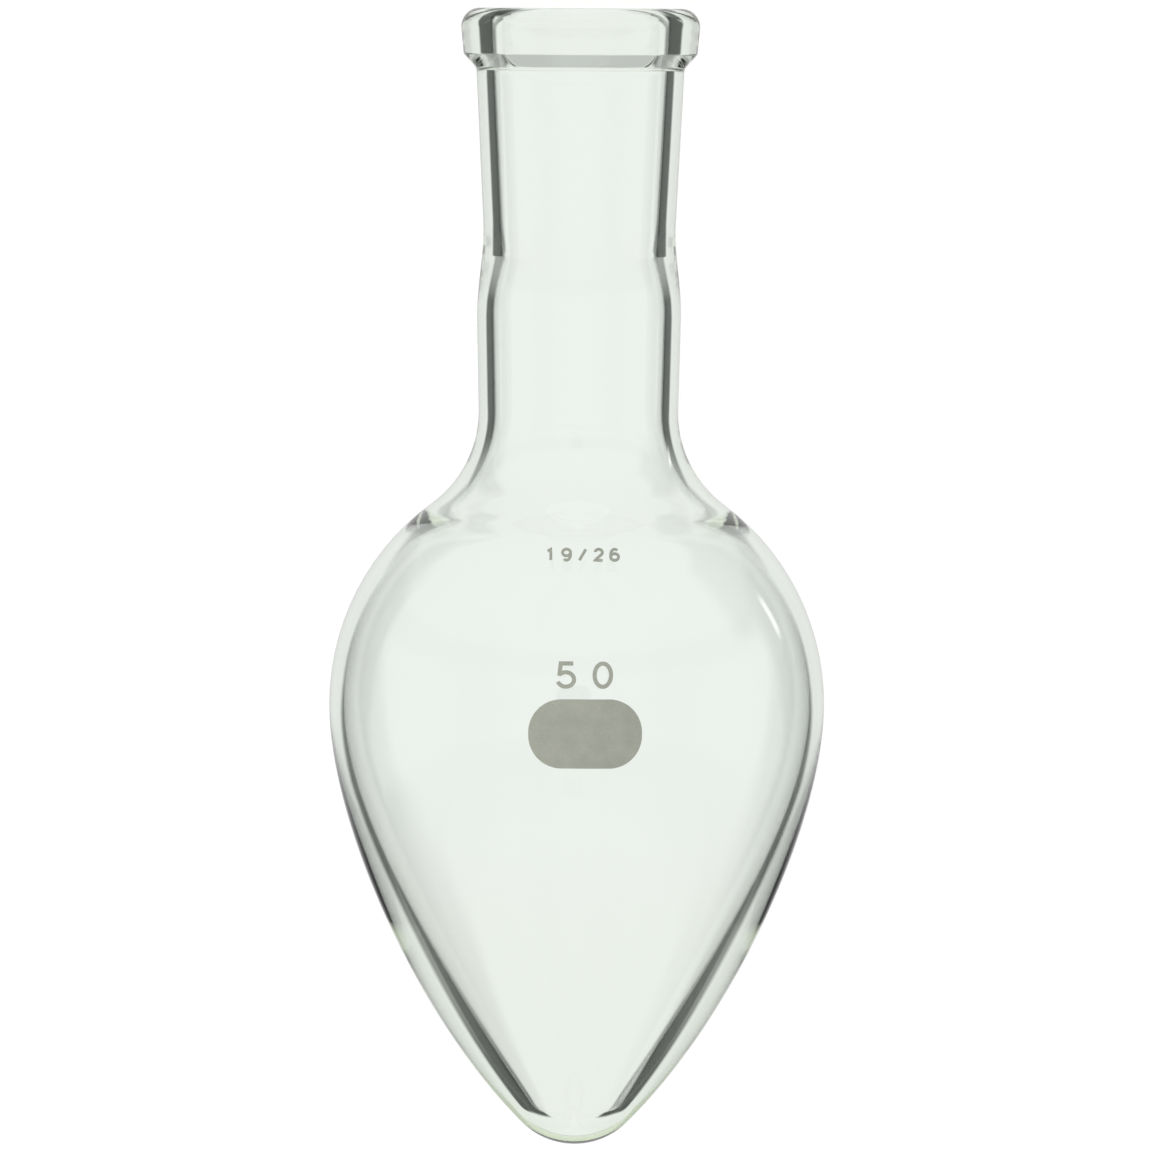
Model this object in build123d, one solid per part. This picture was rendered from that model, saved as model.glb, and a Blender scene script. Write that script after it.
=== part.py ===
from build123d import *
import os
from math import asin, atan2, cos, degrees, hypot, radians, sin, sqrt, tan

# A 50 ml pear shaped flask, blown from one piece of borosilicate glass.
# Sizes are in millimetres and angles in degrees. The flask's own axis starts at the
# outside of the round tip and runs to the mouth, and heights are measured along it.

# Ground socket of a standard 19/26 joint
SOCKET_MOUTH_BORE = 18.8
SOCKET_DEPTH = 26.0
SOCKET_TAPER = 0.1  # bore lost for each millimetre of depth
SOCKET_WALL = 1.8

# Thick bead round the mouth. It is widest just under its round crown.
RIM_DIAMETER = 25.0
RIM_SIDE_ANGLE = 5.5  # its side leans in towards its lower edge
RIM_HEIGHT = 4.8  # mouth to the lower edge
RIM_UNDERCUT = 1.5  # further height of the sloping underside
RIM_CROWN_ROUND = 1.95  # this and the mouth's round shrink if the bead is too narrow for them
RIM_UNDER_ROUND = 0.4
RIM_ROOT_ROUND = 0.8
MOUTH_ROUND = 1.05

# Tube between the socket and the bulb
NECK_LENGTH = 9.85  # plain tube between the shoulder's curve and the flare
NECK_TOP_DIAMETER = 21.35
NECK_FOOT_DIAMETER = 20.9
NECK_WALL = 1.65
FLARE_HEIGHT = 6.4  # between the plain tube and the ground length, where the bore narrows
FLARE_LEAD = 3.6  # how far the outside's easy curve reaches up beside the ground length
FLARE_PULL = 3.3  # length of the outer curve's handles
FLARE_BORE_ANGLE = 12.5  # between the bore and the axis under the ground length
FLARE_BORE_LIP = 0.8  # straight stretch at that angle
FLARE_BORE_PULL = 2.1  # length of the bore curve's handles
SOCKET_END_ROUND = 0.4

# Round upper part of the bulb, and the hollow curve that joins it to the neck
BULB_DIAMETER = 51.9
BULB_WALL = 1.5
BULB_HEIGHT = 46.35  # outside of the tip to the widest ring
SHOULDER_ROUND = 12.0
SHOULDER_BORE_ROUND = 14.0
DOME_BORE_TURN = 42.0  # above the widest ring, where the hollow's dome starts to curve tighter
DOME_BORE_ROUND = 14.0

# Tapering lower part. Its wall thickens towards the small round tip.
TIP_ROUND = 7.8
TIP_WALL = 2.95
TIP_ANGLE = 45.5  # between the wall and the axis where the tip's arc ends
TIP_PULL = 15.0  # length of the curve's handle at the tip
BULB_PULL = 12.8  # length of the curve's handle at the widest ring
TIP_BORE_ROUND = 5.8
TIP_BORE_ANGLE = 36.0
TIP_BORE_PULL = 5.0
BULB_BORE_PULL = 16.0


def flank(widest_radius, bottom, tip_round, angle, tip_pull, bulb_pull):
    """Half outline from the axis at the tip up to the widest ring."""
    tip = CenterArc((0, bottom + tip_round), tip_round, -90, 90 - angle)
    start = tip @ 1
    end = Vector(widest_radius, BULB_HEIGHT)
    side = Bezier(start, start + (tip % 1) * tip_pull, end - Vector(0, bulb_pull), end)
    return [tip, side]


def shoulder_rise(bulb_radius, neck_radius, fillet_radius):
    """Height of the neck's foot over the widest ring, where the hollow curve ends."""
    return sqrt((bulb_radius + fillet_radius) ** 2 - (neck_radius + fillet_radius) ** 2)


def shoulder(bulb_radius, neck_radius):
    """Outer half outline from the widest ring, over the round bulb, to the foot of the neck."""
    across = neck_radius + SHOULDER_ROUND
    rise = shoulder_rise(bulb_radius, neck_radius, SHOULDER_ROUND)
    lean = degrees(atan2(rise, across))
    dome = CenterArc((0, BULB_HEIGHT), bulb_radius, 0, lean)
    hollow = CenterArc((across, BULB_HEIGHT + rise), SHOULDER_ROUND, 180 + lean, -lean)
    return [dome, hollow]


def bore_shoulder(bulb_radius, neck_radius):
    """Inner half outline from the widest ring to the neck. The wall thickens below the shoulder."""
    turn = radians(DOME_BORE_TURN)
    inset = bulb_radius - DOME_BORE_ROUND
    middle = Vector(inset * cos(turn), BULB_HEIGHT + inset * sin(turn))
    across = neck_radius + SHOULDER_BORE_ROUND - middle.X
    rise = sqrt((DOME_BORE_ROUND + SHOULDER_BORE_ROUND) ** 2 - across ** 2)
    lean = degrees(atan2(rise, across))
    dome = CenterArc((0, BULB_HEIGHT), bulb_radius, 0, DOME_BORE_TURN)
    tighter = CenterArc(middle, DOME_BORE_ROUND, DOME_BORE_TURN, lean - DOME_BORE_TURN)
    hollow = CenterArc(middle + Vector(across, rise), SHOULDER_BORE_ROUND, 180 + lean, -lean)
    return [dome, tighter, hollow]


# Heights of the neck's foot and top, of the narrow end of the socket and of the mouth
NECK_FOOT = BULB_HEIGHT + shoulder_rise(BULB_DIAMETER / 2, NECK_FOOT_DIAMETER / 2, SHOULDER_ROUND)
NECK_TOP = NECK_FOOT + NECK_LENGTH
SOCKET_END = NECK_TOP + FLARE_HEIGHT
MOUTH = SOCKET_END + SOCKET_DEPTH

# The bead's two upper rounds, made smaller together where it is too narrow for them
ROUND_SHARE = min(1, (RIM_DIAMETER - SOCKET_MOUTH_BORE) / 2 / (RIM_CROWN_ROUND + MOUTH_ROUND))
CROWN_ROUND = RIM_CROWN_ROUND * ROUND_SHARE


def bore_at(height):
    """Radius of the socket's tapering bore."""
    return SOCKET_MOUTH_BORE / 2 - SOCKET_TAPER / 2 * (MOUTH - height)


def curve(start, start_way, end, end_way, pull):
    """An easy curve between two points, led by a handle of the same length at each."""
    return Bezier(start, start + start_way.normalized() * pull, end - end_way.normalized() * pull, end)


def rim_and_socket(flare_end):
    """Half outline from the outer flare up round the bead and down the socket's bore."""
    bead_end = MOUTH - RIM_HEIGHT
    root = bead_end - RIM_UNDERCUT
    side = radians(RIM_SIDE_ANGLE)
    crown_middle = RIM_DIAMETER / 2 - CROWN_ROUND
    crown_corner = crown_middle + CROWN_ROUND * (1 + sin(side)) / cos(side)
    lower_corner = crown_corner - RIM_HEIGHT * tan(side)
    widening = radians(FLARE_BORE_ANGLE)
    socket_end = Vector(bore_at(SOCKET_END), SOCKET_END)
    corners = [
        (Vector(bore_at(root) + SOCKET_WALL, root), RIM_ROOT_ROUND),
        (Vector(lower_corner, bead_end), RIM_UNDER_ROUND),
        (Vector(crown_corner, MOUTH), CROWN_ROUND),
        (Vector(SOCKET_MOUTH_BORE / 2, MOUTH), MOUTH_ROUND * ROUND_SHARE),
        (socket_end, SOCKET_END_ROUND),
    ]
    lip = socket_end + Vector(sin(widening), -cos(widening)) * FLARE_BORE_LIP
    points = [flare_end, *[corner for corner, rounding in corners], lip]
    return FilletPolyline(*points, radius=[rounding for corner, rounding in corners])


def neck_and_rim(foot_outside, foot_inside):
    """Half outline up the outside of the neck, round the rim and down the bore."""
    top_outside = Vector(NECK_TOP_DIAMETER / 2, NECK_TOP)
    top_inside = top_outside - Vector(NECK_WALL, 0)
    flare_end = Vector(bore_at(SOCKET_END + FLARE_LEAD) + SOCKET_WALL, SOCKET_END + FLARE_LEAD)
    tube_outside = Line(foot_outside, top_outside)
    tube_inside = Line(top_inside, foot_inside)
    top = rim_and_socket(flare_end)
    flare = curve(top_outside, tube_outside % 1, flare_end, top % 0, FLARE_PULL)
    bore_flare = curve(top @ 1, top % 1, top_inside, tube_inside % 0, FLARE_BORE_PULL)
    return [tube_outside, flare, *top.edges(), bore_flare, tube_inside]


def flask():
    """The whole glass body, with its axis along +Y and its tip at the origin."""
    bulb_radius = BULB_DIAMETER / 2
    neck_radius = NECK_FOOT_DIAMETER / 2
    outside = flank(bulb_radius, 0, TIP_ROUND, TIP_ANGLE, TIP_PULL, BULB_PULL)
    outside += shoulder(bulb_radius, neck_radius)
    inside = flank(
        bulb_radius - BULB_WALL, TIP_WALL, TIP_BORE_ROUND, TIP_BORE_ANGLE, TIP_BORE_PULL, BULB_BORE_PULL
    )
    inside += bore_shoulder(bulb_radius - BULB_WALL, neck_radius - NECK_WALL)
    top = neck_and_rim(outside[-1] @ 1, inside[-1] @ 1)
    axis_edge = Line((0, 0), (0, TIP_WALL))
    section = make_face([*outside, *top, *inside, axis_edge])
    return revolve(section, Axis.Y)


def resting_tilt():
    """How far the mouth hangs below the tip when the flask lies on its bulb and rim."""
    along = MOUTH - CROWN_ROUND - BULB_HEIGHT
    across = RIM_DIAMETER / 2 - CROWN_ROUND
    drop = BULB_DIAMETER / 2 - CROWN_ROUND
    return degrees(asin(drop / hypot(along, across)) - atan2(across, along))


def laid_down(body):
    """The body on its side, touching z = 0 at bulb and rim, centred over the origin."""
    tilt = resting_tilt()
    rest_height = BULB_DIAMETER / 2 + BULB_HEIGHT * sin(radians(tilt))
    tilted = Pos(0, 0, rest_height) * Rot(-tilt, 0, 0) * body
    middle = tilted.bounding_box().center()
    return Pos(-middle.X, -middle.Y, 0) * tilted


os.makedirs("parts", exist_ok=True)
export_step(laid_down(flask()), "parts/flask.step")
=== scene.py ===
import math

import bmesh
import bpy
from mathutils import Matrix, Vector


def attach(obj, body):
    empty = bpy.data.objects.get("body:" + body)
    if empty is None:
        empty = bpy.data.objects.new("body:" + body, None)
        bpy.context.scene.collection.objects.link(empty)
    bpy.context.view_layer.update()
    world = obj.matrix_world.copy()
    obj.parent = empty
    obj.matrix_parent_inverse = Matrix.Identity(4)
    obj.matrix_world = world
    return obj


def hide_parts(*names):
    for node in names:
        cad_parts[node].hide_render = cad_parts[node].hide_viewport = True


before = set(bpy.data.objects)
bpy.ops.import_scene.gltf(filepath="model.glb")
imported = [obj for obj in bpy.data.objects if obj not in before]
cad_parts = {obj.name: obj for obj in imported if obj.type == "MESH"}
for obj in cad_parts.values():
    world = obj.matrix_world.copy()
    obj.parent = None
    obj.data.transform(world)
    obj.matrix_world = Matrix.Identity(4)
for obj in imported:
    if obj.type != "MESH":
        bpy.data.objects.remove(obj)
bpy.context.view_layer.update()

# Sizes are in millimetres and angles in degrees, and meshes are scaled to metres when
# they are made. Heights run along the flask's own axis, from the tip to the mouth.
MM = 0.001

# Ground socket and the bead round its mouth
SOCKET_MOUTH_BORE = 18.8
SOCKET_DEPTH = 26.0
SOCKET_TAPER = 0.1
SOCKET_WALL = 1.8
RIM_DIAMETER = 25.0
RIM_SIDE_ANGLE = 5.5
RIM_HEIGHT = 4.8
RIM_UNDERCUT = 1.5
RIM_CROWN_ROUND = 1.95
RIM_UNDER_ROUND = 0.4
RIM_ROOT_ROUND = 0.8
MOUTH_ROUND = 1.05

# Neck
NECK_LENGTH = 9.85
NECK_TOP_DIAMETER = 21.35
NECK_FOOT_DIAMETER = 20.9
NECK_WALL = 1.65
FLARE_HEIGHT = 6.4
FLARE_LEAD = 3.6
FLARE_PULL = 3.3
FLARE_BORE_ANGLE = 12.5
FLARE_BORE_LIP = 0.8
FLARE_BORE_PULL = 2.1
SOCKET_END_ROUND = 0.4

# Bulb and tip
BULB_DIAMETER = 51.9
BULB_WALL = 1.5
BULB_HEIGHT = 46.35
SHOULDER_ROUND = 12.0
SHOULDER_BORE_ROUND = 14.0
DOME_BORE_TURN = 42.0
DOME_BORE_ROUND = 14.0
TIP_ROUND = 7.8
TIP_WALL = 2.95
TIP_ANGLE = 45.5
TIP_PULL = 15.0
BULB_PULL = 12.8
TIP_BORE_ROUND = 5.8
TIP_BORE_ANGLE = 36.0
TIP_BORE_PULL = 5.0
BULB_BORE_PULL = 16.0

# Fineness of the glass mesh
TURN_STEPS = 192
RUN_STEP = 0.7
ARC_STEP = 4.0
SAME_POINT = 1e-4
ON_AXIS = 1e-6

# Fired print on the side that faces up. Places are how far round the bulb to the right of its
# middle line, and how high along the axis, of each print's middle.
PRINT_LIFT = 0.01
PRINT_THICKNESS = 0.03
STROKE_LIFT = 0.005  # of a figure's second stroke over its first, where they cross
PRINT_STEP = 0.3
LONGEST_MITRE = 1.5  # of a stroke's sharp corner, in half widths
RING_TURN = 352  # degrees drawn of a closed oval, whose ends are then joined
PATCH_PLACE = (0.91, 44.74)
PATCH_WIDTH = 11.8
PATCH_HEIGHT = 7.15
PATCH_ROUND = 3.45
VOLUME_PLACE = (0.79, 50.79)
VOLUME_DIGIT = {"width": 2.12, "height": 2.79, "pitch": 3.77, "stroke": 0.43}
JOINT_PLACE = (0.52, 62.9)
JOINT_DIGIT = {"width": 1.12, "height": 1.4, "pitch": 1.66, "stroke": 0.30}

# Camera, as far away and as high above the flask's middle as the rim's level edges show
CAMERA_DISTANCE = 1200.0
CAMERA_RISE = 2.8
CAMERA_AIM_HEIGHT = 59.78
CAMERA_AIM_LEFT = 0.2
CAMERA_ROLL = 0.35
VIEW_WIDTH = 120.70
SENSOR_WIDTH = 36.0

# Clear glass, the print's white enamel greyed all over by painted shade, and the floor
GLASS_IOR = 1.474
GLASS_TINT = (0.50, 0.65, 0.20, 1)
GLASS_TINT_DENSITY = 10
GLASS_SHADOW_COLOUR = (0.93, 0.94, 0.93, 1)
# Both enamel colours are white enamel greyed by painted shade; the step between them is the enamel's own
# uneven grain
ENAMEL_DARK_PAINTED_SHADE = (0.34, 0.355, 0.295, 1)
ENAMEL_LIGHT_PAINTED_SHADE = (0.425, 0.44, 0.37, 1)
ENAMEL_GRAIN_SCALE = 6000
ENAMEL_PATCHES_SCALE = 600
ENAMEL_RELIEF = 0.00002
FLOOR_REACH = 30000.0
FLOOR_COLOUR = (0.8, 0.8, 0.8, 1)
FLOOR_OWN_LIGHT = 0.86
FLOOR_SHADED_COLOUR = (0.2, 0.2, 0.2, 1)

# Plain light, which the glass neither mirrors nor shows through it
SUN_STRENGTH = 1.25
SUN_SPREAD = 50.0
SUN_TURN = (-20.0, -25.0)
PLAIN_LEVEL = 0.6

# The studio as light coming through the glass shows it. It is a bright field with a dark upright
# flag on each side, whose lower part stands further in by the lean, a faint flag behind each, a
# dark band low down and a dim shelf all the way round higher up. Each is darkness by angle to the
# side, and by angle up or down.
FIELD_COLOUR = (0.885, 0.93, 0.89, 1)
FLAG_COLOUR = (0.06, 0.068, 0.062, 1)
FLAG_SIDES = [(30, 0), (35, 1), (62, 1), (68, 0), (112, 0), (122, 0.15), (142, 0.15), (152, 0)]
FLAG_LEAN = {"From Min": math.radians(-14), "From Max": 0, "To Min": math.radians(6), "To Max": 0}
FLAG_HEIGHTS = [(-42, 0), (-24, 1), (5, 1), (14, 0.7), (26, 0.6), (31, 0)]
BAND_SIDES = [(-88, 0), (-76, 1), (-34, 1), (-24, 0), (24, 0), (33, 1), (46, 1), (52, 0)]
BAND_HEIGHTS = [(-54, 0), (-50, 1), (-26, 1), (-20, 0)]
SHELF_SIDES = [(0, 0.42), (180, 0.42)]
SHELF_HEIGHTS = [(15, 0), (19, 1), (25, 1), (29, 0)]

# The studio as the glass's surface mirrors it: bright behind, shaded low down beside that, and
# dim elsewhere, with two upright lamps
MIRRORED_SIDES = [(0, 0.7), (25, 0.6), (40, 0.22)]
MIRRORED_SHADE_SIDES = [(8, 0), (16, 0.8), (40, 0.8), (50, 0)]
MIRRORED_SHADE_HEIGHTS = [(-34, 0), (-28, 1), (-12, 1), (-4, 0)]
MIRRORED_LAMPS = [
    {"side": 59, "height": 20, "half_width": 1.8, "half_height": 5, "strength": 4.0},
    {"side": -72, "height": 22, "half_width": 2.5, "half_height": 10, "strength": 0.5},
]


def arc(centre, radius, first, turn):
    """Points on an arc, from the angle first through turn degrees."""
    steps = max(2, math.ceil(abs(turn) / ARC_STEP))
    angles = [math.radians(first + turn * i / steps) for i in range(steps + 1)]
    return [centre + radius * Vector((math.cos(a), math.sin(a))) for a in angles]


def run(start, end):
    """Points along a straight line."""
    steps = max(1, math.ceil((end - start).length / RUN_STEP))
    return [start.lerp(end, i / steps) for i in range(steps + 1)]


def bezier(start, start_handle, end_handle, end):
    """Points along a curve between two ends, led by two handles."""
    steps = math.ceil((end - start).length / RUN_STEP)
    points = []
    for i in range(steps + 1):
        t = i / steps
        u = 1 - t
        points.append(u**3 * start + 3 * u * u * t * start_handle + 3 * u * t * t * end_handle + t**3 * end)
    return points


def rounded(corners):
    """Points along straight runs whose corners are rounded by arcs."""
    points = []
    here = corners[0][0]
    for (before, _), (corner, radius), (after, _) in zip(corners, corners[1:], corners[2:]):
        back = (before - corner).normalized()
        on = (after - corner).normalized()
        half = back.angle(on) / 2
        reach = radius / math.tan(half)
        centre = corner + (back + on).normalized() * radius / math.sin(half)
        arc_start = corner + back * reach - centre
        first = math.degrees(math.atan2(arc_start.y, arc_start.x))
        side = math.copysign(1, back.x * on.y - back.y * on.x)
        points += run(here, corner + back * reach)
        points += arc(centre, radius, first, -side * (180 - 2 * math.degrees(half)))
        here = corner + on * reach
    return points + run(here, corners[-1][0])


def flank(widest_radius, bottom, tip_round, angle, tip_pull, bulb_pull):
    """Half outline from the axis at the tip up to the widest ring."""
    tip = arc(Vector((0, bottom + tip_round)), tip_round, -90, 90 - angle)
    lead = Vector((math.sin(math.radians(angle)), math.cos(math.radians(angle))))
    start = tip[-1]
    end = Vector((widest_radius, BULB_HEIGHT))
    return tip + bezier(start, start + lead * tip_pull, end - Vector((0, bulb_pull)), end)


def shoulder_rise(bulb_radius, neck_radius, fillet_radius):
    """Height of the neck's foot over the widest ring, where the hollow curve ends."""
    return math.sqrt((bulb_radius + fillet_radius) ** 2 - (neck_radius + fillet_radius) ** 2)


def shoulder(bulb_radius, neck_radius):
    """Outer half outline from the widest ring, over the round bulb, to the foot of the neck."""
    across = neck_radius + SHOULDER_ROUND
    rise = shoulder_rise(bulb_radius, neck_radius, SHOULDER_ROUND)
    lean = math.degrees(math.atan2(rise, across))
    dome = arc(Vector((0, BULB_HEIGHT)), bulb_radius, 0, lean)
    hollow = arc(Vector((across, BULB_HEIGHT + rise)), SHOULDER_ROUND, 180 + lean, -lean)
    return dome + hollow


def bore_shoulder(bulb_radius, neck_radius):
    """Half outline of the hollow from the widest ring to the neck, its dome tighter near the neck."""
    turn = math.radians(DOME_BORE_TURN)
    inset = bulb_radius - DOME_BORE_ROUND
    middle = Vector((inset * math.cos(turn), BULB_HEIGHT + inset * math.sin(turn)))
    across = neck_radius + SHOULDER_BORE_ROUND - middle.x
    rise = math.sqrt((DOME_BORE_ROUND + SHOULDER_BORE_ROUND) ** 2 - across ** 2)
    lean = math.degrees(math.atan2(rise, across))
    dome = arc(Vector((0, BULB_HEIGHT)), bulb_radius, 0, DOME_BORE_TURN)
    tighter = arc(middle, DOME_BORE_ROUND, DOME_BORE_TURN, lean - DOME_BORE_TURN)
    hollow = arc(middle + Vector((across, rise)), SHOULDER_BORE_ROUND, 180 + lean, -lean)
    return dome + tighter + hollow


# Heights of the neck's foot and top, of the narrow end of the socket and of the mouth
NECK_FOOT = BULB_HEIGHT + shoulder_rise(BULB_DIAMETER / 2, NECK_FOOT_DIAMETER / 2, SHOULDER_ROUND)
NECK_TOP = NECK_FOOT + NECK_LENGTH
SOCKET_END = NECK_TOP + FLARE_HEIGHT
MOUTH = SOCKET_END + SOCKET_DEPTH


def bore_at(height):
    """Radius of the socket's tapering bore."""
    return SOCKET_MOUTH_BORE / 2 - SOCKET_TAPER / 2 * (MOUTH - height)


def curve(start, start_way, end, end_way, pull):
    """Points along an easy curve, led by a handle of the same length at each end."""
    return bezier(start, start + start_way.normalized() * pull, end - end_way.normalized() * pull, end)


def rim_and_socket(flare_end):
    """Half outline from the outer flare up round the bead and down the socket's bore."""
    bead_end = MOUTH - RIM_HEIGHT
    root = bead_end - RIM_UNDERCUT
    side = math.radians(RIM_SIDE_ANGLE)
    crown_middle = RIM_DIAMETER / 2 - RIM_CROWN_ROUND
    crown_corner = crown_middle + RIM_CROWN_ROUND * (1 + math.sin(side)) / math.cos(side)
    lower_corner = crown_corner - RIM_HEIGHT * math.tan(side)
    widening = math.radians(FLARE_BORE_ANGLE)
    socket_end = Vector((bore_at(SOCKET_END), SOCKET_END))
    return rounded([
        (flare_end, 0),
        (Vector((bore_at(root) + SOCKET_WALL, root)), RIM_ROOT_ROUND),
        (Vector((lower_corner, bead_end)), RIM_UNDER_ROUND),
        (Vector((crown_corner, MOUTH)), RIM_CROWN_ROUND),
        (Vector((SOCKET_MOUTH_BORE / 2, MOUTH)), MOUTH_ROUND),
        (socket_end, SOCKET_END_ROUND),
        (socket_end + Vector((math.sin(widening), -math.cos(widening))) * FLARE_BORE_LIP, 0),
    ])


def neck_and_rim(foot_outside, foot_inside):
    """Half outline up the outside of the neck, round the rim and down the bore."""
    top_outside = Vector((NECK_TOP_DIAMETER / 2, NECK_TOP))
    top_inside = top_outside - Vector((NECK_WALL, 0))
    flare_end = Vector((bore_at(SOCKET_END + FLARE_LEAD) + SOCKET_WALL, SOCKET_END + FLARE_LEAD))
    top = rim_and_socket(flare_end)
    tube_outside = run(foot_outside, top_outside)
    tube_inside = run(top_inside, foot_inside)
    flare = curve(top_outside, top_outside - foot_outside, flare_end, top[1] - top[0], FLARE_PULL)
    bore_flare = curve(top[-1], top[-1] - top[-2], top_inside, foot_inside - top_inside, FLARE_BORE_PULL)
    return tube_outside + flare + top + bore_flare + tube_inside


def flask_outline():
    """The wall's whole outline, from the tip's outside round the rim to the tip's inside."""
    bulb_radius = BULB_DIAMETER / 2
    neck_radius = NECK_FOOT_DIAMETER / 2
    bore_bulb = bulb_radius - BULB_WALL
    outside = flank(bulb_radius, 0, TIP_ROUND, TIP_ANGLE, TIP_PULL, BULB_PULL)
    outside += shoulder(bulb_radius, neck_radius)
    inside = flank(bore_bulb, TIP_WALL, TIP_BORE_ROUND, TIP_BORE_ANGLE, TIP_BORE_PULL, BULB_BORE_PULL)
    inside += bore_shoulder(bore_bulb, neck_radius - NECK_WALL)
    points = outside + neck_and_rim(outside[-1], inside[-1]) + inside[::-1]
    distinct = points[:1]
    for point in points[1:]:
        if (point - distinct[-1]).length > SAME_POINT:
            distinct.append(point)
    return distinct


def resting_tilt():
    """How far the mouth hangs below the tip when the flask lies on its bulb and rim."""
    along = MOUTH - RIM_CROWN_ROUND - BULB_HEIGHT
    across = RIM_DIAMETER / 2 - RIM_CROWN_ROUND
    drop = BULB_DIAMETER / 2 - RIM_CROWN_ROUND
    return math.asin(drop / math.hypot(along, across)) - math.atan2(across, along)


# The flask's own directions where it lies: along its axis, up from it and across
TILT = resting_tilt()
REST_HEIGHT = BULB_DIAMETER / 2 + BULB_HEIGHT * math.sin(TILT)
ALONG = Vector((0, math.cos(TILT), -math.sin(TILT)))
UPWARD = Vector((0, math.sin(TILT), math.cos(TILT)))
SIDEWAYS = Vector((1, 0, 0))


def turned(outline):
    """A mesh in millimetres, made by turning the outline round the flask's axis."""
    mesh = bmesh.new()
    rings = []
    for radius, height in outline:
        if radius < ON_AXIS:
            rings.append([mesh.verts.new(ALONG * height)])
            continue
        ring = []
        for i in range(TURN_STEPS):
            angle = math.tau * i / TURN_STEPS
            spoke = SIDEWAYS * math.cos(angle) + UPWARD * math.sin(angle)
            ring.append(mesh.verts.new(ALONG * height + spoke * radius))
        rings.append(ring)
    for low, high in zip(rings, rings[1:]):
        for i in range(TURN_STEPS):
            j = (i + 1) % TURN_STEPS
            if len(low) == 1:
                mesh.faces.new((low[0], high[j], high[i]))
            elif len(high) == 1:
                mesh.faces.new((low[i], low[j], high[0]))
            else:
                mesh.faces.new((low[i], low[j], high[j], high[i]))
    bmesh.ops.recalc_face_normals(mesh, faces=mesh.faces)
    return mesh


def bulb_radius_at(height):
    """Outer radius of the flank or the shoulder at a height along the axis."""
    outside = flank(BULB_DIAMETER / 2, 0, TIP_ROUND, TIP_ANGLE, TIP_PULL, BULB_PULL)
    outside += shoulder(BULB_DIAMETER / 2, NECK_FOOT_DIAMETER / 2)
    for low, high in zip(outside, outside[1:]):
        if low.y <= height <= high.y and high.y > low.y:
            return low.lerp(high, (height - low.y) / (high.y - low.y)).x
    return outside[-1].x


def on_bulb(across, height, lift):
    """A place on the bulb's upper side, lifted off the glass."""
    radius = bulb_radius_at(height)
    angle = across / radius
    return ALONG * height + (SIDEWAYS * math.sin(angle) + UPWARD * math.cos(angle)) * (radius + lift)


def printed(rows, place, closed=False, lift=PRINT_LIFT):
    """A thin closed layer on the bulb, from rows of flat points. A closed one is a ring."""
    mesh = bmesh.new()
    layers = []
    for level in (lift, lift + PRINT_THICKNESS):
        layers.append([
            [mesh.verts.new(on_bulb(place[0] + p.x, place[1] + p.y, level)) for p in row] for row in rows
        ])
    under, top = layers
    pairs = [(i, i + 1) for i in range(len(rows) - 1)]
    if closed:
        pairs.append((len(rows) - 1, 0))
    last = len(rows[0]) - 1
    for i, j in pairs:
        for k in range(last):
            mesh.faces.new((top[i][k], top[i][k + 1], top[j][k + 1], top[j][k]))
            mesh.faces.new((under[i][k + 1], under[i][k], under[j][k], under[j][k + 1]))
        for k in (0, last):
            mesh.faces.new((under[i][k], top[i][k], top[j][k], under[j][k]))
    if not closed:
        for i in (0, len(rows) - 1):
            for k in range(last):
                mesh.faces.new((under[i][k], under[i][k + 1], top[i][k + 1], top[i][k]))
    bmesh.ops.recalc_face_normals(mesh, faces=mesh.faces)
    return mesh


def stroke_rows(path, width, closed=False):
    """Pairs of points to the left and right of a pen's path."""
    rows = []
    count = len(path)
    for i, point in enumerate(path):
        before = path[i - 1] if i or closed else point
        after = path[(i + 1) % count] if i < count - 1 or closed else point
        back = (point - before).normalized()
        on = (after - point).normalized()
        way = (back + on).normalized()
        normal = Vector((-way.y, way.x))
        straight = max(back.dot(way), on.dot(way))
        reach = width / 2 * min(LONGEST_MITRE, 1 / max(straight, 0.1))
        rows.append([point + normal * reach, point - normal * reach])
    return rows


def oval(centre, across, tall, first, turn):
    """Points on an ellipse, from the angle first through turn degrees."""
    circle = arc(Vector((0, 0)), 1, first, turn)
    return [Vector((centre[0] + p.x * across, centre[1] + p.y * tall)) for p in circle]


def pen_paths(sign, width, height):
    """Middle lines of a sign's strokes in shares of its box, each with whether it is a ring."""
    w, h = width, height
    if sign == "0":
        return [(oval((w / 2, h / 2), w / 2, h / 2, 0, RING_TURN), True)]
    if sign == "1":
        return [([Vector(p) for p in ((0.15 * w, 0.78 * h), (0.55 * w, h), (0.55 * w, 0))], False)]
    if sign == "2":
        head = oval((w / 2, 0.7 * h), 0.46 * w, 0.3 * h, 170, -200)
        return [(head + [Vector((0, 0)), Vector((w, 0))], False)]
    if sign == "5":
        flag = [Vector((0.93 * w, h)), Vector((0.17 * w, h)), Vector((0.08 * w, 0.46 * h))]
        return [(flag, False), (oval((0.48 * w, 0.31 * h), 0.5 * w, 0.31 * h, 130, -292), False)]
    if sign == "/":
        return [([Vector((0.1 * w, 0)), Vector((0.9 * w, h))], False)]
    stem = oval((w / 2, 0.5 * h), w / 2, 0.5 * h, 50, 130) + [Vector((0, 0.3 * h))]
    six = [(stem, False), (oval((w / 2, 0.3 * h), w / 2, 0.3 * h, 0, RING_TURN), True)]
    if sign == "9":
        return [([Vector((w, h)) - p for p in path], closed) for path, closed in six]
    return six


def fine(path):
    """The same path with no step longer than the print's step."""
    points = []
    for start, end in zip(path, path[1:]):
        steps = max(1, math.ceil((end - start).length / PRINT_STEP))
        points += [start.lerp(end, i / steps) for i in range(steps)]
    return points + path[-1:]


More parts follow.
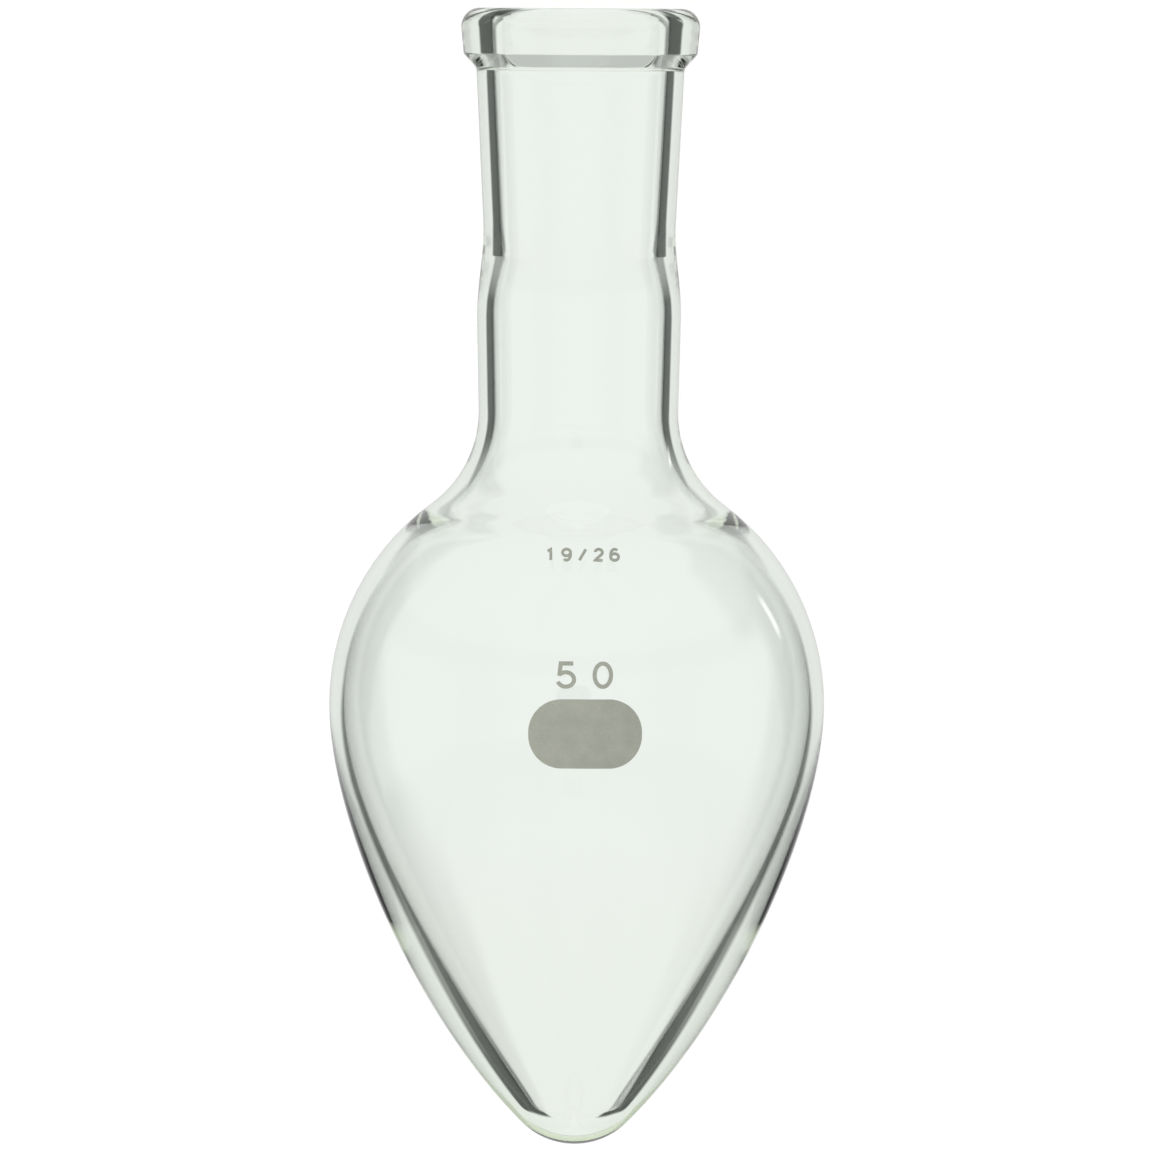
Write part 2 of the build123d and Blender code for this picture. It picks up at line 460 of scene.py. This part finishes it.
def printed_signs(signs, place, digit):
    """A short line of figures round the bulb."""
    joined = bmesh.new()
    inset = digit["stroke"] / 2
    for i, sign in enumerate(signs):
        middle = (i - (len(signs) - 1) / 2) * digit["pitch"]
        corner = Vector((middle - digit["width"] / 2 + inset, inset - digit["height"] / 2))
        strokes = pen_paths(sign, digit["width"] - 2 * inset, digit["height"] - 2 * inset)
        for number, (path, closed) in enumerate(strokes):
            rows = stroke_rows([corner + p for p in fine(path)], digit["stroke"], closed)
            part = printed(rows, place, closed, PRINT_LIFT + number * STROKE_LIFT)
            data = bpy.data.meshes.new("stroke")
            part.to_mesh(data)
            part.free()
            joined.from_mesh(data)
            bpy.data.meshes.remove(data)
    return joined


def printed_patch():
    """The rounded patch for pencil notes."""
    straight = PATCH_HEIGHT / 2 - PATCH_ROUND
    middle = PATCH_WIDTH / 2 - PATCH_ROUND
    columns = math.ceil(PATCH_WIDTH / PRINT_STEP)
    lower = arc(Vector((middle, -straight)), PATCH_ROUND, -90, 90)
    edge = lower + arc(Vector((middle, straight)), PATCH_ROUND, 0, 90)
    rows = []
    for point in edge:
        rows.append([Vector((point.x * (2 * k / columns - 1), point.y)) for k in range(columns + 1)])
    return printed(rows, PATCH_PLACE)


def at_rest(mesh, tip):
    """The same bmesh, from millimetres about its tip to metres in its resting place."""
    bmesh.ops.transform(mesh, matrix=Matrix.Scale(MM, 4) @ Matrix.Translation(tip), verts=mesh.verts)
    return mesh


def finished_object(mesh, name, material, smooth=True):
    """The bmesh as an object of the scene."""
    data = bpy.data.meshes.new(name)
    mesh.to_mesh(data)
    mesh.free()
    for face in data.polygons:
        face.use_smooth = smooth
    data.materials.append(material)
    thing = bpy.data.objects.new(name, data)
    bpy.context.scene.collection.objects.link(thing)
    return thing


def new_material(name):
    material = bpy.data.materials.new(name)
    material.use_nodes = True
    material.node_tree.nodes.clear()
    return material, material.node_tree


def node(tree, kind, **values):
    """A shader node with its named inputs or properties set."""
    made = tree.nodes.new(kind)
    for key, value in values.items():
        if key in made.inputs:
            made.inputs[key].default_value = value
        else:
            setattr(made, key, value)
    return made


def glass_material():
    """Clear borosilicate glass, very slightly olive where the light's way in it is long."""
    material, tree = new_material("flask_glass")
    surface = node(tree, "ShaderNodeBsdfPrincipled")
    surface.inputs["Base Color"].default_value = (1, 1, 1, 1)
    surface.inputs["Transmission Weight"].default_value = 1
    surface.inputs["Roughness"].default_value = 0
    surface.inputs["IOR"].default_value = GLASS_IOR
    lamp_way = node(tree, "ShaderNodeBsdfTransparent")
    lamp_way.inputs["Color"].default_value = GLASS_SHADOW_COLOUR
    light_path = node(tree, "ShaderNodeLightPath")
    mix = node(tree, "ShaderNodeMixShader")
    tree.links.new(light_path.outputs["Is Shadow Ray"], mix.inputs[0])
    tree.links.new(surface.outputs[0], mix.inputs[1])
    tree.links.new(lamp_way.outputs[0], mix.inputs[2])
    tint = node(tree, "ShaderNodeVolumeAbsorption")
    tint.inputs["Color"].default_value = GLASS_TINT
    tint.inputs["Density"].default_value = GLASS_TINT_DENSITY
    output = node(tree, "ShaderNodeOutputMaterial")
    tree.links.new(mix.outputs[0], output.inputs["Surface"])
    tree.links.new(tint.outputs[0], output.inputs["Volume"])
    return material


def enamel_material():
    """White enamel, fired on through a screen and greyed all over by painted shade: finely grained and a
    little uneven.
    """
    material, tree = new_material("print_enamel_painted_shade")
    place = node(tree, "ShaderNodeTexCoord")
    grain = node(tree, "ShaderNodeTexNoise", Scale=ENAMEL_GRAIN_SCALE, Detail=2)
    patches = node(tree, "ShaderNodeTexNoise", Scale=ENAMEL_PATCHES_SCALE, Detail=3)
    for noise in (grain, patches):
        tree.links.new(place.outputs["Object"], noise.inputs["Vector"])
    both = node(tree, "ShaderNodeMath", operation="ADD")
    tree.links.new(grain.outputs["Fac"], both.inputs[0])
    tree.links.new(patches.outputs["Fac"], both.inputs[1])
    # Both colours of this ramp carry the painted shade that greys the white enamel
    enamel_grain_and_painted_shade = node(tree, "ShaderNodeValToRGB")
    enamel_grain_and_painted_shade.color_ramp.elements[0].position = 0.30
    enamel_grain_and_painted_shade.color_ramp.elements[0].color = ENAMEL_DARK_PAINTED_SHADE
    enamel_grain_and_painted_shade.color_ramp.elements[1].position = 0.70
    enamel_grain_and_painted_shade.color_ramp.elements[1].color = ENAMEL_LIGHT_PAINTED_SHADE
    halved = node(tree, "ShaderNodeMath", operation="MULTIPLY")
    halved.inputs[1].default_value = 0.5
    tree.links.new(both.outputs[0], halved.inputs[0])
    tree.links.new(halved.outputs[0], enamel_grain_and_painted_shade.inputs[0])
    relief = node(tree, "ShaderNodeBump", Strength=0.3, Distance=ENAMEL_RELIEF)
    tree.links.new(grain.outputs["Fac"], relief.inputs["Height"])
    surface = node(tree, "ShaderNodeBsdfPrincipled", Roughness=0.6)
    tree.links.new(enamel_grain_and_painted_shade.outputs[0], surface.inputs["Base Color"])
    tree.links.new(relief.outputs[0], surface.inputs["Normal"])
    output = node(tree, "ShaderNodeOutputMaterial")
    tree.links.new(surface.outputs[0], output.inputs["Surface"])
    return material


def floor_material():
    """Plain white to the camera, with the flask's soft shadow, and a pale surface to all else."""
    material, tree = new_material("stage_floor")
    own_light = node(tree, "ShaderNodeEmission", Strength=FLOOR_OWN_LIGHT)
    shaded = node(tree, "ShaderNodeBsdfDiffuse", Color=FLOOR_SHADED_COLOUR)
    seen = node(tree, "ShaderNodeAddShader")
    tree.links.new(own_light.outputs[0], seen.inputs[0])
    tree.links.new(shaded.outputs[0], seen.inputs[1])
    plain = node(tree, "ShaderNodeBsdfDiffuse", Color=FLOOR_COLOUR)
    light_path = node(tree, "ShaderNodeLightPath")
    mix = node(tree, "ShaderNodeMixShader")
    tree.links.new(light_path.outputs["Is Camera Ray"], mix.inputs[0])
    tree.links.new(plain.outputs[0], mix.inputs[1])
    tree.links.new(seen.outputs[0], mix.inputs[2])
    output = node(tree, "ShaderNodeOutputMaterial")
    tree.links.new(mix.outputs[0], output.inputs["Surface"])
    return material


class Studio:
    """The world's shader tree, with what its fields are drawn from."""

    def __init__(self, tree):
        self.tree = tree
        self.direction = node(tree, "ShaderNodeTexCoord").outputs["Generated"]
        self.signed_side = self.calculate("ARCTAN2", self.along(SIDEWAYS), self.along(-UPWARD))
        self.side = self.calculate("ABSOLUTE", self.signed_side)
        self.height = self.calculate("ARCSINE", self.along(ALONG))
        lean = node(tree, "ShaderNodeMapRange", **FLAG_LEAN)
        tree.links.new(self.height, lean.inputs["Value"])
        self.leaning_side = self.calculate("ADD", self.side, lean.outputs[0])

    def along(self, axis):
        """How far the ray's direction points along an axis."""
        part = node(self.tree, "ShaderNodeVectorMath", operation="DOT_PRODUCT")
        part.inputs[1].default_value = axis
        self.tree.links.new(self.direction, part.inputs[0])
        return part.outputs["Value"]

    def calculate(self, operation, first, second=None):
        """A sum of sockets or plain values."""
        made = node(self.tree, "ShaderNodeMath", operation=operation)
        for socket, value in zip(made.inputs, (first, second)):
            if isinstance(value, bpy.types.NodeSocket):
                self.tree.links.new(value, socket)
            elif value is not None:
                socket.default_value = value
        return made.outputs[0]

    def levels(self, angle, stops):
        """A level from 0 to 1 by an angle between -90 and 180 degrees."""
        share = node(self.tree, "ShaderNodeMapRange")
        share.inputs["From Min"].default_value = math.radians(-90)
        share.inputs["From Max"].default_value = math.radians(180)
        self.tree.links.new(angle, share.inputs["Value"])
        made = node(self.tree, "ShaderNodeValToRGB")
        ramp = made.color_ramp
        while len(ramp.elements) < len(stops):
            ramp.elements.new(0.5)
        for element, (degrees, level) in zip(ramp.elements, stops):
            element.position = (degrees + 90) / 270
            element.color = (level, level, level, 1)
        self.tree.links.new(share.outputs[0], made.inputs[0])
        return made.outputs[0]

    def area(self, side, sides, heights):
        """Levels to the side, faded by levels up and down."""
        return self.calculate("MULTIPLY", self.levels(side, sides), self.levels(self.height, heights))

    def blend(self, share, first, second):
        """One colour, going over into a second by a share."""
        made = node(self.tree, "ShaderNodeMix", data_type="RGBA")
        self.tree.links.new(share, made.inputs["Factor"])
        made.inputs[6].default_value = first
        made.inputs[7].default_value = second
        return made.outputs[2]

    def lamp(self, side, height, half_width, half_height, strength):
        """A soft-edged upright rectangle of light."""
        across = self.calculate("ABSOLUTE", self.calculate("SUBTRACT", self.signed_side, math.radians(side)))
        upward = self.calculate("ABSOLUTE", self.calculate("SUBTRACT", self.height, math.radians(height)))
        wide = self.fade(across, half_width)
        tall = self.fade(upward, half_height)
        return self.calculate("MULTIPLY", self.calculate("MULTIPLY", wide, tall), strength)

    def fade(self, offset, half):
        """One up to half the given angle, and nothing beyond it and a half."""
        made = node(self.tree, "ShaderNodeMapRange", interpolation_type="SMOOTHSTEP")
        made.inputs["From Min"].default_value = math.radians(half * 0.5)
        made.inputs["From Max"].default_value = math.radians(half * 1.5)
        made.inputs["To Min"].default_value = 1
        made.inputs["To Max"].default_value = 0
        self.tree.links.new(offset, made.inputs["Value"])
        return made.outputs[0]


def make_world():
    """White to the camera, plain light on surfaces, and the studio's fields for the glass."""
    world = bpy.data.worlds.new("studio")
    world.use_nodes = True
    tree = world.node_tree
    tree.nodes.clear()
    studio = Studio(tree)
    flags = studio.area(studio.leaning_side, FLAG_SIDES, FLAG_HEIGHTS)
    band = studio.area(studio.signed_side, BAND_SIDES, BAND_HEIGHTS)
    shelf = studio.area(studio.side, SHELF_SIDES, SHELF_HEIGHTS)
    darkness = studio.calculate("MAXIMUM", studio.calculate("MAXIMUM", flags, band), shelf)
    through = studio.blend(darkness, FIELD_COLOUR, FLAG_COLOUR)
    shade = studio.area(studio.side, MIRRORED_SHADE_SIDES, MIRRORED_SHADE_HEIGHTS)
    mirrored = studio.levels(studio.side, MIRRORED_SIDES)
    mirrored = studio.calculate("MULTIPLY", mirrored, studio.calculate("SUBTRACT", 1, shade))
    for lamp in MIRRORED_LAMPS:
        mirrored = studio.calculate("ADD", studio.lamp(**lamp), mirrored)
    seen_through = node(tree, "ShaderNodeBackground")
    tree.links.new(through, seen_through.inputs["Color"])
    seen_mirrored = node(tree, "ShaderNodeBackground")
    tree.links.new(mirrored, seen_mirrored.inputs["Strength"])
    plain = node(tree, "ShaderNodeBackground", Strength=PLAIN_LEVEL)
    camera_sees = node(tree, "ShaderNodeBackground", Strength=1.0)
    for background in (seen_mirrored, plain, camera_sees):
        background.inputs["Color"].default_value = (1, 1, 1, 1)
    light_path = node(tree, "ShaderNodeLightPath")
    shown = plain.outputs[0]
    for ray, background in (
        ("Is Glossy Ray", seen_mirrored),
        ("Is Transmission Ray", seen_through),
        ("Is Camera Ray", camera_sees),
    ):
        mix = node(tree, "ShaderNodeMixShader")
        tree.links.new(light_path.outputs[ray], mix.inputs[0])
        tree.links.new(shown, mix.inputs[1])
        tree.links.new(background.outputs[0], mix.inputs[2])
        shown = mix.outputs[0]
    output = node(tree, "ShaderNodeOutputWorld")
    tree.links.new(shown, output.inputs["Surface"])
    bpy.context.scene.world = world


def make_floor():
    mesh = bmesh.new()
    reach = FLOOR_REACH * MM
    corners = [mesh.verts.new((x * reach, y * reach, 0)) for x, y in ((-1, -1), (1, -1), (1, 1), (-1, 1))]
    mesh.faces.new(corners)
    floor = finished_object(mesh, "stage_floor", floor_material())
    floor.visible_transmission = False
    floor.visible_glossy = False


def make_lamp():
    data = bpy.data.lights.new("soft_sun", "SUN")
    data.energy = SUN_STRENGTH
    data.angle = math.radians(SUN_SPREAD)
    lamp = bpy.data.objects.new("soft_sun", data)
    lamp.rotation_euler = (math.radians(SUN_TURN[0]), math.radians(SUN_TURN[1]), 0)
    lamp.visible_glossy = False
    lamp.visible_transmission = False
    bpy.context.scene.collection.objects.link(lamp)


def make_camera(tip):
    rise = math.radians(CAMERA_RISE)
    roll = math.radians(CAMERA_ROLL)
    back = UPWARD * math.cos(rise) + ALONG * math.sin(rise)
    level_up = ALONG * math.cos(rise) - UPWARD * math.sin(rise)
    right = SIDEWAYS * math.cos(roll) + level_up * math.sin(roll)
    up = level_up * math.cos(roll) - SIDEWAYS * math.sin(roll)
    aim = tip + ALONG * CAMERA_AIM_HEIGHT - SIDEWAYS * CAMERA_AIM_LEFT
    spot = (aim + back * CAMERA_DISTANCE) * MM
    data = bpy.data.cameras.new("camera")
    data.sensor_width = SENSOR_WIDTH
    data.lens = SENSOR_WIDTH * CAMERA_DISTANCE / VIEW_WIDTH
    data.clip_end = 100
    camera = bpy.data.objects.new("camera", data)
    camera.matrix_world = Matrix.Translation(spot) @ Matrix((right, up, back)).transposed().to_4x4()
    bpy.context.scene.collection.objects.link(camera)
    bpy.context.scene.camera = camera


glass = turned(flask_outline())
ends = [vertex.co.y for vertex in glass.verts]
tip = Vector((0, 0, REST_HEIGHT)) - Vector((0, (min(ends) + max(ends)) / 2, 0))
flask = finished_object(at_rest(glass, tip), "glass_flask", glass_material())
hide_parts("flask")
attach(flask, "root")

enamel = enamel_material()
prints = [
    ("marking_patch", printed_patch()),
    ("volume_print", printed_signs("50", VOLUME_PLACE, VOLUME_DIGIT)),
    ("joint_print", printed_signs("19/26", JOINT_PLACE, JOINT_DIGIT)),
]
for name, layer in prints:
    piece = finished_object(at_rest(layer, tip), name, enamel, smooth=False)
    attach(piece, "root")

make_floor()
make_lamp()
make_world()
make_camera(tip)

bpy.context.scene.view_settings.view_transform = "Standard"
bpy.context.scene.cycles.max_bounces = 32
bpy.context.scene.cycles.transmission_bounces = 32
bpy.context.scene.cycles.glossy_bounces = 16
bpy.context.scene.cycles.transparent_max_bounces = 32
